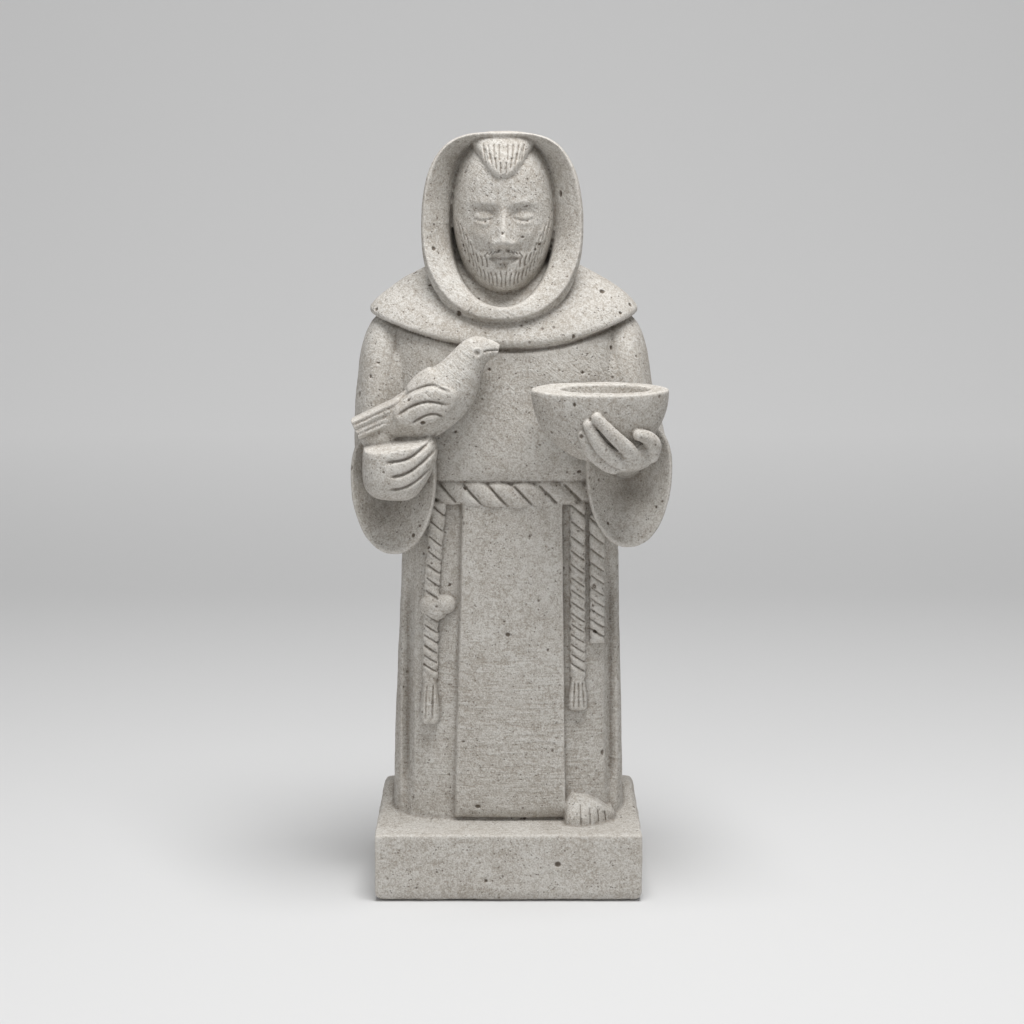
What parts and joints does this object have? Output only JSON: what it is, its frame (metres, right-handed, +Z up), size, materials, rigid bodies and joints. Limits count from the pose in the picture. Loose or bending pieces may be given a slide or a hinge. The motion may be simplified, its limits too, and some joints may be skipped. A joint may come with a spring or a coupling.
{
  "type": "saint francis statue",
  "caption": "Carved stone statue of Saint Francis as a hooded, bearded friar in a roped habit, holding a bird and a bowl, in one block with its plinth.",
  "frame": {"origin": "centre of the plinth's underside", "axes": "+Z up, the figure faces -Y, and its left hand with the bowl is at +X"},
  "size_m": [0.2098, 0.1837, 0.5004],
  "materials": {
    "stone": "matt, porous, with chisel marks"
  },
  "bodies": {
    "root": {"statue": "stone"}
  },
  "joints": []
}
